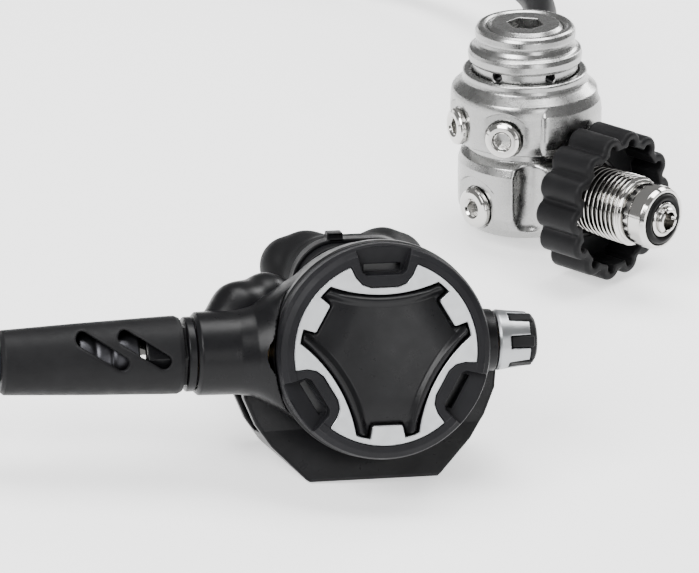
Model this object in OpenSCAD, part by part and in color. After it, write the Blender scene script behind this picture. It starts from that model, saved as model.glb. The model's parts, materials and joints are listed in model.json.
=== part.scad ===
// Scuba regulator set: DIN first stage, low-pressure hose and adjustable second stage.
// The set stands on a table at z = 0: the first stage leans back on its handwheel and the
// rim of its base, and the second stage leans back on its exhaust tee.

/* [Placing of the two stages] */
// Turn of the first stage about the vertical
first_turn = 36; // [20:1:50]
// Lean of the first stage, away from its DIN connector
first_tilt = 9; // [8.6:0.1:9.4]
// Lean of the second stage, away from its cover
second_lean = 22; // [20:1:24]
// Droop of the second stage toward its hose
second_droop = 3.6; // [2:0.2:4]

/* [First stage body] */
// Radius of the flat base
base_r = 14; // [13:0.5:14.5]
// Radius of the lower tier
lower_r = 21.5; // [20.5:0.5:22]
// Radius of the upper tier
upper_r = 25.5; // [25:0.5:26]
// Radius of the top rim
rim_r = 20.2; // [19.5:0.1:21]
// Height of the top rim
rim_z = 54.5; // [54:0.5:55]
// Height of the DIN connector's axis
din_z = 16.6; // [16:0.1:17]
// Height of the low-pressure ports' axes
low_z = 37.3; // [37:0.1:38]
// Height of the high-pressure ports' axes
high_z = 10.5; // [10:0.1:11]
// Distance of the low-pressure port faces from the body's axis
low_face = 23; // [22.5:0.1:23.5]
// Distance of the high-pressure port faces from the body's axis
high_face = 19.8; // [19.5:0.1:20.2]

/* [DIN connector] */
// Outer radius of the G 5/8 thread
din_thread_r = 11.45; // [11.4:0.01:11.5]
// Length of the thread beyond the handwheel's hub
din_thread_len = 20; // [18:0.5:22]
// Outer radius of the handwheel
wheel_r = 24.8; // [24.4:0.1:25]
// Length of the handwheel along its axis
wheel_len = 16; // [15:0.5:17]
// Number of finger lobes around the handwheel
wheel_lobes = 14; // [12:1:16]

/* [Second stage] */
// Outer radius of the cover ring
cover_r = 32.5; // [32:0.1:33]
// Outer radius of the case behind the cover
case_r = 31.5; // [31:0.1:32]
// Depth of the case behind its front rim
case_depth = 24; // [23:0.5:25]
// Wall of the case and the tee
shell_wall = 2; // [1.6:0.1:2.4]
// Outer radius of the silver accent ring
accent_r = 28; // [27.5:0.1:28.5]
// Travel of the purge button
purge_travel = 2.4; // [1.8:0.1:2.4]
// Outer radius of the valve barrel
barrel_r = 6; // [5.8:0.1:6.2]

/* [Hose] */
// Radius of the low-pressure hose
hose_r = 5.5; // [5.2:0.1:5.6]
// Radius of the crimped ferrules
ferrule_r = 7.8; // [7.4:0.1:8]

/* [Hidden] */
$fn = 96;

// Places of the two stages: the centre of the first stage's base, and the point of the second
// stage's hose axis that lies behind the centre of the cover. The shift puts the set's centre
// on the origin.
set_shift = [79.655, 66.728, 0];
first_place = [-0.8, -5, 3.4];
second_place = [-87.6, -157.4, 40.3];

// First stage: heights above its base.
rim_recess_r = 17.9;
housing_r = 17.3;
housing_bore_r = 12.45;
cap_bore_r = 14.6;
cap_low_z = 57.3;
cap_top_z = 69.3;
screw_low_z = 60.5;
diaphragm_z = 43;
plate_z = 44.2;
chamber_r = 12.5;
high_chamber_r = 6.5;
orifice_z = 29;
low_plug_turns = [-66, -115, 66];
hose_port_turn = 129;
high_plug_turns = [-98.5, 98.5];
low_port_r = 4.76;
high_port_r = 5.55;

// DIN connector: distances from the body's axis.
wheel_near = 26;
thread_near = 29.5;
retainer_face = 59;
retainer_r = 10.6;
shank_r = 6.5;
retainer_bore_r = 3.6;

// Hose fitting: distances from the body's axis along the hose port.
fitting_far = 35;
first_ferrule_far = 54;

// Second stage: places along the hose axis, from the knob (+) to the hose (-).
collar_near = -55;
nut_ring_near = -57.8;
sleeve_near = -58.9;
sleeve_far = -113.5;
ferrule_near = -72;
ferrule_far = -90;
slot_slant = 33;
knob_near = 37;
knob_far = 49.3;
barrel_bore_r = 4.6;
oval_half = 6;
purge_r = 25.6;
plate_r = 10.8;

// Second stage: depths behind the hose axis (+) or before it (-).
cover_front = -19;
cover_back = -11.2;
front_ring_back = -7;
lobe_back = -13;
purge_back = -16.6;
diaphragm_front = -9.3 - purge_travel;

// Route of the hose from the ferrule inside the protector to the ferrule on the first stage:
// out of the protector, down to the table, round behind the first stage and up to its port.
hose_route = [
    [-177.4, -157.4, 34.6], [-189, -157.4, 33.9], [-201, -157.4, 33.1], [-214, -156.5, 31.5],
    [-228, -151, 29], [-241, -141, 25.5], [-249, -126, 21.5], [-252, -108, 17],
    [-250, -88, 12.5], [-244, -66, 8.5], [-236, -40, 6], [-226, -10, 5.56],
    [-216, 20, 5.56], [-206, 52, 5.56], [-198, 84, 5.56], [-191, 114, 5.56],
    [-182, 141, 5.56], [-168, 165, 5.56], [-147, 182, 5.56], [-122, 190, 5.7],
    [-95, 191.5, 7], [-68, 191, 9.5], [-42, 188.5, 12.8], [-18, 183, 16.5],
    [4, 171.5, 20.5], [20, 152.5, 23.6], [28, 129, 26.6], [27.6, 106, 29.3],
    [21.5, 85, 31.5], [14.73, 68.82, 33.15], [9.99, 51.54, 34.92],
];

// Poses of the two stages.
module first_pose() {
    translate(set_shift + first_place) rotate([0, 0, first_turn]) rotate([-first_tilt, 0, 0]) children();
}
module second_pose() {
    translate(set_shift + second_place) rotate([0, -second_droop, 0]) rotate([-second_lean, 0, 0]) children();
}

// A point at distance r from the first stage's axis, looking outward along -Y, turned by turn.
module port_pose(turn, r, z) {
    rotate([0, 0, turn]) translate([0, -r, z]) rotate([90, 0, 0]) children();
}
// Along the DIN axis, from distance r outward.
module din_pose(r) {
    port_pose(0, r, din_z) children();
}
// Along the hose axis of the second stage, from x toward the knob.
module axis_pose(x) {
    translate([x, 0, 0]) rotate([0, 90, 0]) children();
}
// Along the depth of the second stage, from y toward the mouthpiece.
module depth_pose(y) {
    translate([0, y, 0]) rotate([-90, 0, 0]) children();
}
// Looking at the cover from the front, with z the distance before y and the drawing upright.
module face_pose(y) {
    translate([0, y, 0]) rotate([90, 0, 0]) children();
}
// Along the mouthpiece tube, which rises a little toward the diver.
module mouth_pose(far) {
    translate([0, 5, 14]) rotate([-83, 0, 0]) translate([0, 0, far]) children();
}

module tube(r, bore, h) {
    difference() {
        cylinder(r = r, h = h);
        translate([0, 0, -1]) cylinder(r = bore, h = h + 2);
    }
}
module o_ring(r, wire) {
    rotate_extrude() translate([r, 0]) circle(r = wire, $fn = 24);
}
module hex_bar(flats, h) {
    cylinder(r = flats / sqrt(3), h = h, $fn = 6);
}

// A round rod swept along points, as one closed solid. No point may be above the one before it.
function unit(v) = v / norm(v);
function heading(p, i) = unit(p[min(i + 1, len(p) - 1)] - p[max(i - 1, 0)]);
function ring_at(p, i, r, sides) =
    let (h = heading(p, i), a = unit(cross(h, [0, 0, 1])), b = cross(h, a))
    [for (k = [0:sides - 1]) p[i] + r * (cos(360 * k / sides) * a + sin(360 * k / sides) * b)];
module swept_rod(p, r, sides) {
    rings = len(p);
    points = [for (i = [0:rings - 1]) each ring_at(p, i, r, sides)];
    walls = [for (i = [0:rings - 2], k = [0:sides - 1])
        let (a = i * sides, b = a + sides, next = (k + 1) % sides)
        each [[a + k, b + k, b + next], [a + k, b + next, a + next]]];
    near_cap = [for (k = [0:sides - 1]) k];
    far_cap = [for (k = [sides - 1:-1:0]) (rings - 1) * sides + k];
    polyhedron(points = points, faces = concat(walls, [near_cap, far_cap]), convexity = 10);
}

// A smooth curve through the points of a route, with a number of steps in each span.
function curve_point(a, b, c, d, t) = 0.5 * (2 * b + (c - a) * t
    + (2 * a - 5 * b + 4 * c - d) * t * t + (3 * b - a - 3 * c + d) * t * t * t);
function smooth_route(p, steps) =
    let (last = len(p) - 1)
    concat([for (i = [0:last - 1], s = [0:steps - 1])
        curve_point(p[max(i - 1, 0)], p[i], p[i + 1], p[min(i + 2, last)], s / steps)],
        [p[last]]);

// A coil spring along z, from near to far.
module coil_spring(r, wire, near, far, turns) {
    steps = 14;
    count = turns * steps;
    path = [for (i = [0:count])
        [r * cos(360 * i / steps), r * sin(360 * i / steps),
         near + wire + (far - near - 2 * wire) * i / count]];
    swept_rod(path, wire, 6);
}

// ---------------------------------------------------------------- first stage

module body_blank() {
    rotate_extrude()
        polygon([[0, 0], [base_r, 0], [base_r + 4, 1.8], [base_r + 6.4, 5],
            [lower_r, 9], [lower_r, 23.5], [lower_r - 1.5, 26.5], [lower_r - 3.5, 27.8],
            [lower_r - 3.5, 29.6], [upper_r - 3, 31.6], [upper_r - 0.8, 33.6], [upper_r, 36.5],
            [upper_r, 42.2], [upper_r - 1, 46], [upper_r - 3.2, 49], [rim_r, 51],
            [rim_r, rim_z - 0.8], [rim_r - 0.8, rim_z], [0, rim_z]]);
    din_pose(10) cylinder(r = 13.5, h = wheel_near - 10.4);
}

module port_faces() {
    for (turn = concat(low_plug_turns, [hose_port_turn]))
        port_pose(turn, low_face, low_z) translate([-12, -9, 0]) cube([24, 17, 8]);
    for (turn = high_plug_turns)
        port_pose(turn, high_face, high_z) translate([-12, -9, 0]) cube([24, 24, 8]);
}

module body_bores() {
    // Recess and thread for the spring housing, then the intermediate-pressure chamber.
    translate([0, 0, 52]) cylinder(r = rim_recess_r, h = 10);
    translate([0, 0, diaphragm_z - 0.6]) cylinder(r = 15.6, h = 20);
    translate([0, 0, 32.2]) cylinder(r = chamber_r, h = 20);
    // High-pressure chamber with the seat of the orifice above it.
    translate([0, 0, 7]) cylinder(r = high_chamber_r, h = 22);
    translate([0, 0, orifice_z]) cylinder(r = 7, h = 10);
    for (turn = concat(low_plug_turns, [hose_port_turn]))
        port_pose(turn, 8, low_z) cylinder(r = low_port_r, h = 25);
    for (turn = high_plug_turns)
        port_pose(turn, 3, high_z) cylinder(r = high_port_r, h = 25);
    din_pose(3) cylinder(r = shank_r, h = 40);
}

module first_stage_body() {
    color([0.78, 0.79, 0.8]) first_pose() difference() {
        body_blank();
        port_faces();
        body_bores();
    }
}

module spring_housing() {
    color([0.8, 0.81, 0.82]) first_pose() difference() {
        union() {
            translate([0, 0, diaphragm_z + 0.6]) cylinder(r = 15.55, h = 10);
            translate([0, 0, 52.4]) cylinder(r = housing_r, h = cap_low_z + 1.5 - 52.4);
            translate([0, 0, 57]) cylinder(r = cap_bore_r - 0.1, h = cap_top_z - 0.6 - 57);
        }
        translate([0, 0, 30]) cylinder(r = housing_bore_r, h = 50);
        for (turn = [39:60:339])
            port_pose(turn, 10, 55.9) cylinder(r = 1.7, h = 10);
    }
}

module cap_ring() {
    color([0.84, 0.85, 0.86]) first_pose() rotate_extrude()
        polygon([[cap_bore_r, cap_low_z + 1.6], [housing_r + 0.1, cap_low_z + 1.6],
            [housing_r + 0.1, cap_low_z], [18.1, cap_low_z], [18.6, 58.4], [18.2, 61],
            [17.2, 62.3], [16.3, 63.2], [15.9, 64.6], [15.9, 65.2], [16.4, 65.5],
            [16.4, 67.6], [15.6, cap_top_z], [cap_bore_r, cap_top_z]]);
}

module adjusting_screw() {
    color([0.85, 0.85, 0.85]) first_pose() difference() {
        union() {
            translate([0, 0, screw_low_z]) cylinder(r = housing_bore_r - 0.05, h = 8.4);
            translate([0, 0, screw_low_z + 8.3]) cylinder(r1 = 12.2, r2 = 11.6, h = 0.9);
        }
        translate([0, 0, screw_low_z - 1]) cylinder(r = 4.6, h = 20);
        translate([0, 0, 63.4]) hex_bar(12, 10);
    }
}

module main_spring() {
    color([0.6, 0.6, 0.62]) first_pose() coil_spring(9.6, 1.5, plate_z + 1.6, screw_low_z, 5);
}

module spring_plate() {
    color([0.75, 0.68, 0.45]) first_pose() {
        translate([0, 0, plate_z]) cylinder(r = 11.8, h = 1.5);
        translate([0, 0, plate_z + 1.4]) cylinder(r = 6.5, h = 2);
    }
}

module main_diaphragm() {
    color([0.15, 0.15, 0.16]) first_pose()
        translate([0, 0, diaphragm_z - 0.6]) cylinder(r = 15.4, h = 1.2);
}

module transmission_pin() {
    color([0.75, 0.68, 0.45]) first_pose() {
        translate([0, 0, 40.6]) cylinder(r = 8, h = 1.7);
        translate([0, 0, 27.4]) cylinder(r = 1.4, h = 13.4);
    }
}

module high_orifice() {
    color([0.78, 0.7, 0.45]) first_pose() {
        translate([0, 0, orifice_z]) tube(6.95, 2, 3);
        translate([0, 0, orifice_z - 1.4]) tube(3.2, 2, 1.6);
    }
}

module high_poppet() {
    color([0.3, 0.3, 0.32]) first_pose() {
        translate([0, 0, 24.2]) cylinder(r = 4, h = 3.1);
        translate([0, 0, 21]) cylinder(r = 2.4, h = 3.3);
    }
}

module high_spring() {
    color([0.6, 0.6, 0.62]) first_pose() coil_spring(3.2, 0.45, 7.1, 24.1, 7);
}

// A port plug with its flange at z = 0, a hex socket and a stub of thread below.
module port_plug(flange_r, thread_r, flats) {
    difference() {
        union() {
            translate([0, 0, 0.1]) cylinder(r = flange_r, h = 1.9);
            translate([0, 0, 1.9]) cylinder(r1 = flange_r, r2 = flange_r - 0.9, h = 0.7);
            translate([0, 0, -6]) cylinder(r = thread_r - 0.05, h = 6.2);
        }
        translate([0, 0, -2.6]) hex_bar(flats, 8);
    }
}

module low_port_plugs() {
    color([0.82, 0.82, 0.83]) first_pose() for (turn = low_plug_turns)
        port_pose(turn, low_face, low_z) port_plug(6, low_port_r, 4.8);
}

module high_port_plugs() {
    color([0.82, 0.82, 0.83]) first_pose() for (turn = high_plug_turns)
        port_pose(turn, high_face, high_z) port_plug(6.6, high_port_r, 4.8);
}

module port_o_rings() {
    color([0.1, 0.1, 0.1]) first_pose() {
        for (turn = low_plug_turns)
            port_pose(turn, low_face - 6.9, low_z) o_ring(3.6, 0.8);
        for (turn = high_plug_turns)
            port_pose(turn, high_face - 6.9, high_z) o_ring(4.4, 0.8);
    }
}

module din_thread_sleeve() {
    color([0.8, 0.8, 0.8]) first_pose() din_pose(wheel_near) difference() {
        union() {
            cylinder(r = 12.4, h = thread_near - wheel_near);
            translate([0, 0, 3]) cylinder(r = din_thread_r, h = din_thread_len + 0.5);
        }
        translate([0, 0, -1]) cylinder(r = 7.6, h = 40);
    }
}

// A star of finger lobes, one slice of the handwheel.
module lobe_star(r, lobe_r, h) {
    linear_extrude(h) {
        rotate([0, 0, 180 / wheel_lobes]) circle(r = r - 2.2);
        for (k = [0:wheel_lobes - 1]) rotate([0, 0, 360 * k / wheel_lobes])
            translate([r - lobe_r, 0]) rotate([0, 0, 180]) circle(r = lobe_r, $fn = 32);
    }
}

module handwheel() {
    lobe_r = 4.6;
    edge = 1.5;
    color([0.12, 0.12, 0.13]) first_pose() din_pose(wheel_near) difference() {
        union() {
            lobe_star(wheel_r - 1.1, lobe_r - 0.7, edge + 0.5);
            translate([0, 0, edge]) lobe_star(wheel_r, lobe_r, wheel_len - edge);
        }
        translate([0, 0, 4]) cylinder(r = 18.5, h = wheel_len);
        translate([0, 0, -1]) cylinder(r = 12.45, h = wheel_len);
    }
}

module din_retainer() {
    head = retainer_face - thread_near - din_thread_len;
    color([0.82, 0.82, 0.82]) first_pose() difference() {
        union() {
            din_pose(9) cylinder(r = shank_r - 0.05, h = wheel_near - 9.2);
            din_pose(wheel_near - 0.3) cylinder(r = 7.5, h = retainer_face - wheel_near);
            din_pose(retainer_face - head + 0.2) cylinder(r = retainer_r, h = head - 0.2);
        }
        din_pose(8) cylinder(r = retainer_bore_r, h = 60);
        din_pose(retainer_face - 1.5) tube(8.6, 5.6, 4);
        din_pose(retainer_face - 10.2) cylinder(r = 4.4, h = 20);
    }
}

module din_face_o_ring() {
    color([0.08, 0.08, 0.08]) first_pose() din_pose(retainer_face - 0.3) o_ring(7.1, 1.15);
}

module seal_valve() {
    color([0.75, 0.75, 0.76]) first_pose() din_pose(retainer_face - 7.7) difference() {
        union() {
            cylinder(r = 4.35, h = 10.5);
            translate([0, 0, -4]) cylinder(r = 1.6, h = 5);
        }
        translate([0, 0, 2]) cylinder(r = 2.6, h = 20);
    }
}

module seal_valve_spring() {
    color([0.6, 0.6, 0.62]) first_pose() din_pose(36) coil_spring(2.7, 0.4, 0.1, 14.8, 6);
}

module inlet_filter() {
    color([0.72, 0.62, 0.4]) first_pose() din_pose(28)
        cylinder(r1 = 1.6, r2 = retainer_bore_r - 0.1, h = 7.8);
}

// ---------------------------------------------------------------- hose and its fittings

module hose_fitting() {
    color([0.82, 0.82, 0.82]) first_pose() difference() {
        union() {
            port_pose(hose_port_turn, low_face - 7, low_z) cylinder(r = low_port_r - 0.05, h = 7.3);
            port_pose(hose_port_turn, low_face + 0.1, low_z) cylinder(r = 7.4, h = 2);
            port_pose(hose_port_turn, low_face + 2, low_z) hex_bar(14.2, fitting_far - low_face - 2);
        }
        port_pose(hose_port_turn, 5, low_z) cylinder(r = 2.4, h = 60);
    }
}

module hose_ferrules() {
    color([0.75, 0.75, 0.76]) {
        first_pose() port_pose(hose_port_turn, fitting_far, low_z)
            tube(ferrule_r, 2.4, first_ferrule_far - fitting_far);
        second_pose() axis_pose(ferrule_far) tube(ferrule_r, 2.4, ferrule_near - ferrule_far);
    }
}

module hose() {
    color([0.1, 0.1, 0.1]) translate(set_shift)
        swept_rod(smooth_route(hose_route, 2), hose_r, 12);
}

// The protector's outline along the hose axis, tapering toward its free end.
module protector_outline() {
    rotate_extrude()
        polygon([[0, 0], [9.2, 0], [10, 1.2], [10.8, 25], [11.7, 50], [11.7, 53.8],
            [10.9, sleeve_near - sleeve_far], [0, sleeve_near - sleeve_far]]);
}

module hose_protector() {
    color([0.13, 0.13, 0.14]) second_pose() difference() {
        axis_pose(sleeve_far) protector_outline();
        axis_pose(sleeve_far - 1) cylinder(r = hose_r + 0.3, h = 70);
        axis_pose(sleeve_far + 3) cylinder(r = 8.4, h = 14.1);
        axis_pose(sleeve_far + 17) cylinder(r = 8.9, h = 23);
        axis_pose(sleeve_far + 39.9) cylinder(r = 10.35, h = 20);
        for (x = [-83.5, -71]) translate([x, 0, 4.7]) rotate([0, slot_slant, 0])
            translate([-11, -20, -2]) cube([22, 40, 4]);
    }
}

module hose_stem() {
    color([0.8, 0.8, 0.8]) second_pose() {
        axis_pose(ferrule_near) tube(4.1, 2.4, 15);
        axis_pose(-62.5) tube(6.6, 2.4, 2.3);
        axis_pose(ferrule_near) tube(7.2, 2.4, 1.6);
    }
}

module hose_o_rings() {
    color([0.08, 0.08, 0.08]) {
        second_pose() axis_pose(-58.4) rotate_extrude() translate([4.35, 0]) circle(r = 0.24, $fn = 16);
        first_pose() port_pose(hose_port_turn, low_face - 8, low_z) o_ring(3.6, 0.8);
    }
}

module swivel_nut() {
    color([0.16, 0.16, 0.17]) second_pose() difference() {
        union() {
            axis_pose(-70) hex_bar(17.4, 12.4);
            axis_pose(nut_ring_near) cylinder(r = 11.3, h = 2.6);
        }
        axis_pose(-71) cylinder(r = 4.3, h = 20);
        axis_pose(-64) cylinder(r = 7.1, h = 20);
    }
}

// ---------------------------------------------------------------- second stage

module case_blank() {
    depth_pose(front_ring_back + 0.1) {
        cylinder(r = case_r, h = case_depth * 0.55);
        translate([0, 0, case_depth * 0.55])
            cylinder(r1 = case_r, r2 = case_r - 6, h = case_depth * 0.45);
    }
    axis_pose(collar_near + 1) cylinder(r = 12.7, h = 30);
    axis_pose(collar_near) cylinder(r1 = 11.6, r2 = 12.7, h = 1.1);
    axis_pose(20) cylinder(r = 9.6, h = knob_near - 20.4);
    mouth_pose(0) oval_bar(11, 25);
}

// An oval bar: two round ends side by side with a block between them.
module oval_bar(r, h) {
    for (side = [-1, 1]) translate([side * oval_half, 0, 0]) cylinder(r = r, h = h);
    translate([-oval_half, -r, 0]) cube([2 * oval_half, 2 * r, h]);
}

module case_hollow() {
    // Room for the front ring and the cover.
    depth_pose(-30) cylinder(r = cover_r + 0.6, h = 30 + front_ring_back + 0.05);
    depth_pose(front_ring_back - 1) {
        cylinder(r = case_r - shell_wall, h = case_depth * 0.55 + 1);
        translate([0, 0, case_depth * 0.55 + 0.99])
            cylinder(r1 = case_r - shell_wall, r2 = case_r - 7.4, h = case_depth * 0.45 - shell_wall);
    }
    // Bores for the valve barrel, the mouthpiece tube and the exhaust port.
    axis_pose(collar_near - 1) cylinder(r = 7.3, h = 17);
    axis_pose(collar_near - 1) cylinder(r = barrel_r + 0.05, h = 110);
    mouth_pose(-3) oval_bar(9.2, 40);
    translate([0, 0, -15]) depth_pose(0) for (turn = [0:90:270])
        rotate([0, 0, turn]) translate([5, 0, 0]) cylinder(r = 2.6, h = 30);
    translate([0, 0, -15]) depth_pose(0) cylinder(r = 1.6, h = 30);
}

module second_stage_case() {
    color([0.1, 0.1, 0.11]) second_pose() difference() {
        case_blank();
        case_hollow();
    }
}

module bypass_tube() {
    color([0.11, 0.11, 0.12]) second_pose() difference() {
        union() {
            hull() {
                translate([-39.5, 8, 11.5]) sphere(r = 7.2, $fn = 32);
                translate([-30, 14, 14]) sphere(r = 6.8, $fn = 32);
            }
            hull() {
                translate([-30, 14, 14]) sphere(r = 6.8, $fn = 32);
                translate([-21, 19, 12]) sphere(r = 6.4, $fn = 32);
            }
        }
        case_blank();
        mouth_pose(14.7) oval_bar(14.3, 30);
        mouth_pose(18) translate([-10, -16.5, 0]) cube([7, 4, 6]);
    }
}

module front_ring() {
    color([0.12, 0.12, 0.13]) second_pose() {
        depth_pose(cover_back + 0.1) tube(cover_r + 0.5, case_r - 1.6, front_ring_back - cover_back - 0.1);
    }
}

// One lobe of the cover ring, which holds a scoop and reaches in over the accent ring.
module scoop_lobe(gap) {
    hull() {
        for (side = [-1, 1]) translate([side * 5, 23.3]) circle(r = 3.6 + gap, $fn = 32);
        translate([-10.6 - gap, 27.4]) square([21.2 + 2 * gap, 3]);
    }
}

// The mouth of a scoop, wider toward the rim.
module scoop_mouth() {
    polygon([[-6.8, 23], [6.8, 23], [8.6, 30.8], [-8.6, 30.8]]);
}

module cover_ring() {
    color([0.14, 0.14, 0.15]) second_pose() difference() {
        union() {
            face_pose(cover_back) linear_extrude(cover_back - cover_front) difference() {
                circle(r = cover_r);
                circle(r = accent_r + 0.1);
            }
            // A thin web carries the accent ring, and the lobes reach in over it.
            face_pose(cover_front + 3.5) linear_extrude(1.6) difference() {
                circle(r = cover_r - 0.5);
                purge_outline(0.4);
            }
            face_pose(lobe_back) linear_extrude(lobe_back - cover_front) intersection() {
                circle(r = cover_r - 0.5);
                union() for (turn = [0:120:240]) rotate([0, 0, turn]) scoop_lobe(0);
            }
        }
        for (turn = [0:120:240]) face_pose(cover_front + 4.6) rotate([0, 0, turn])
            linear_extrude(5) scoop_mouth();
        for (turn = [0:120:240], side = [-1, 1]) face_pose(0) rotate([0, 0, turn])
            translate([side * 3 - 2.5, 24.6, 0]) cube([5, 3, 30]);
    }
}

// Outline of the purge button: three arms, each between two scoops and notched at its end.
module purge_outline(gap) {
    difference() {
        circle(r = purge_r + gap);
        for (turn = [60:120:300]) rotate([0, 0, turn])
            polygon([[gap - 4.8, 21.2 + gap], [4.8 - gap, 21.2 + gap], [7 - gap, 28], [gap - 7, 28]]);
        for (turn = [0:120:240]) rotate([0, 0, turn])
            translate([0, 62]) circle(r = 45 - gap, $fn = 180);
    }
}

module accent_ring() {
    color([0.78, 0.79, 0.8]) second_pose() face_pose(cover_front + 1.9)
        linear_extrude(1.5) difference() {
            circle(r = accent_r);
            purge_outline(0.4);
            for (turn = [0:120:240]) rotate([0, 0, turn]) scoop_lobe(0.1);
        }
}

module purge_button() {
    color([0.09, 0.09, 0.1]) second_pose() {
        face_pose(purge_back) linear_extrude(3.6) purge_outline(0);
        face_pose(diaphragm_front - 0.7) cylinder(r = 3, h = diaphragm_front - purge_back);
    }
}

module purge_spring() {
    color([0.6, 0.6, 0.62]) second_pose() face_pose(diaphragm_front - 0.6)
        coil_spring(4.4, 0.4, 0, 4.4, 3);
}

module diaphragm() {
    color([0.75, 0.75, 0.76]) second_pose() {
        depth_pose(diaphragm_front) tube(28, plate_r + 0.1, 0.6);
        depth_pose(cover_back + 0.05) tube(29.7, 27.9, 2.5);
    }
}

module diaphragm_plate() {
    color([0.25, 0.25, 0.27]) second_pose() depth_pose(diaphragm_front - 0.4)
        cylinder(r = plate_r, h = 1);
}

module demand_lever() {
    tip = -8.4 - purge_travel;
    arm = [[-2.2, tip], [-0.8, tip], [13, -6.4], [13, 0.8], [11, 0.8], [11, -6.1], [-2.2, tip + 0.7]];
    color([0.75, 0.75, 0.76]) second_pose() {
        // Slanting arm toward the middle of the diaphragm.
        intersection() {
            translate([0, 0, -4]) linear_extrude(8) polygon(arm);
            translate([-10, -20, -4]) cube([30, 14.6, 8]);
        }
        // Two legs past the pivot, one on each side of the poppet's stem.
        for (side = [-1, 1]) translate([11, -6.2, side * 3.4 - 0.6]) cube([2, 7, 1.2]);
    }
}

module valve_barrel() {
    color([0.72, 0.62, 0.38]) second_pose() difference() {
        union() {
            axis_pose(-40) cylinder(r = barrel_r, h = 76);
            axis_pose(-60) cylinder(r = 7.05, h = 21);
        }
        axis_pose(-61) cylinder(r = barrel_bore_r, h = 110);
        translate([8.5, -8, -5]) cube([9, 6, 10]);
        translate([-24, -8, -2.5]) cube([22, 16, 5]);
        axis_pose(-42) tube(8, 6.05, 1.2);
    }
}

module inlet_orifice() {
    color([0.78, 0.7, 0.45]) second_pose() {
        axis_pose(-42) tube(barrel_bore_r - 0.02, 1.9, 9);
        axis_pose(-33.1) tube(2.8, 1.9, 1.4);
    }
}

module poppet() {
    color([0.3, 0.3, 0.32]) second_pose() {
        axis_pose(-31.6) cylinder(r = 4.1, h = 3.5);
        axis_pose(-28.2) cylinder(r = 2.2, h = 42);
        axis_pose(13.6) cylinder(r = 4.1, h = 1.6);
    }
}

module poppet_spring() {
    color([0.6, 0.6, 0.62]) second_pose() axis_pose(15.3) coil_spring(3.3, 0.45, 0, 10.4, 5);
}

module adjuster_spindle() {
    color([0.78, 0.7, 0.45]) second_pose() {
        axis_pose(25.8) cylinder(r = barrel_bore_r - 0.05, h = 4);
        axis_pose(29.7) cylinder(r = 3, h = 16);
    }
}

module barrel_o_rings() {
    color([0.08, 0.08, 0.08]) second_pose() {
        axis_pose(33) o_ring(3.75, 0.7);
        axis_pose(-41.4) o_ring(6.65, 0.55);
    }
}

module knob_body() {
    color([0.8, 0.81, 0.82]) second_pose() difference() {
        union() {
            axis_pose(knob_near) cylinder(r = 9.2, h = 2);
            axis_pose(knob_near + 1.9) cylinder(r1 = 9.2, r2 = 7.2, h = 8);
        }
        axis_pose(knob_near - 1) cylinder(r = 6.2, h = 3.4);
        axis_pose(knob_near - 1) cylinder(r = 3.02, h = 30);
        for (turn = [0:60:300]) rotate([turn, 0, 0])
            translate([knob_near + 3.6, -2.4, 6.7]) cube([12, 4.8, 6]);
    }
}

module knob_grip() {
    color([0.1, 0.1, 0.11]) second_pose() difference() {
        union() {
            axis_pose(knob_near + 9.9) cylinder(r1 = 8, r2 = 7, h = knob_far - knob_near - 9.9);
            for (turn = [0:60:300]) rotate([turn, 0, 0])
                translate([knob_near + 3.7, -2.3, 6.8]) cube([7, 4.6, 1.6]);
        }
        axis_pose(20) cylinder(r = 3.02, h = 26);
    }
}

module exhaust_valve() {
    color([0.55, 0.55, 0.56]) second_pose() translate([0, 0, -15]) {
        depth_pose(17.2) cylinder(r = 9.6, h = 0.8);
        depth_pose(14.4) cylinder(r = 1.5, h = 3);
    }
}

// Front outline of the exhaust tee: wide at the top, narrowing to a flat foot.
module tee_outline(inset) {
    intersection() {
        translate([0, 6]) circle(r = 50.5 - inset);
        polygon([[-39 + inset, -10], [-38.5 + inset, -15], [-31 + inset, -30], [-20, -41 + inset],
            [20, -41 + inset], [30.5 - inset, -30], [38 - inset, -15], [39 - inset, -10]]);
    }
}

module tee_blank(inset, near, far) {
    translate([0, far, 0]) rotate([90, 0, 0]) linear_extrude(far - near) tee_outline(inset);
}

module exhaust_tee() {
    color([0.08, 0.08, 0.09]) second_pose() difference() {
        tee_blank(0, 4, 27);
        // Hollow for the exhaled air, open at both wing tips.
        difference() {
            tee_blank(shell_wall, 6, 25);
            translate([-14, 0, -60]) cube([28, 8.5, 60]);
        }
        for (side = [-1, 1]) translate([side * 34 - 12, 9, -27]) cube([24, 13, 14]);
        // The case and the exhaust port press into the tee's front.
        depth_pose(-10) cylinder(r = case_r + 0.05, h = 24.2);
        depth_pose(14) cylinder(r = case_r - 4.1, h = 5);
        translate([0, 0, -15]) depth_pose(10) cylinder(r = 12, h = 9);
        mouth_pose(0) oval_bar(11.6, 40);
        axis_pose(collar_near) cylinder(r = 12.8, h = 40);
        // Flat foot on the table.
        translate([0, 4, -39.85]) rotate([second_lean, 0, 0]) translate([-60, -30, -40]) cube([120, 90, 40]);
    }
}

// The rounded block that the lips close on, and the two bite tabs.
module mouthpiece() {
    color([0.12, 0.12, 0.13]) second_pose() difference() {
        union() {
            mouth_pose(15) oval_bar(12.9, 12.5);
            hull() {
                mouth_pose(27) oval_bar(12.4, 1);
                for (side = [-1, 1])
                    mouth_pose(38) translate([side * 14, -2, 0]) cylinder(r = 10, h = 3, $fn = 32);
            }
            for (side = [-1, 1]) mouth_pose(40) translate([side * 18 - 3.5, -3.4, 0]) cube([7, 3.4, 13]);
        }
        mouth_pose(14) oval_bar(11.05, 16.2);
        mouth_pose(20) oval_bar(8, 40);
    }
}

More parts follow.
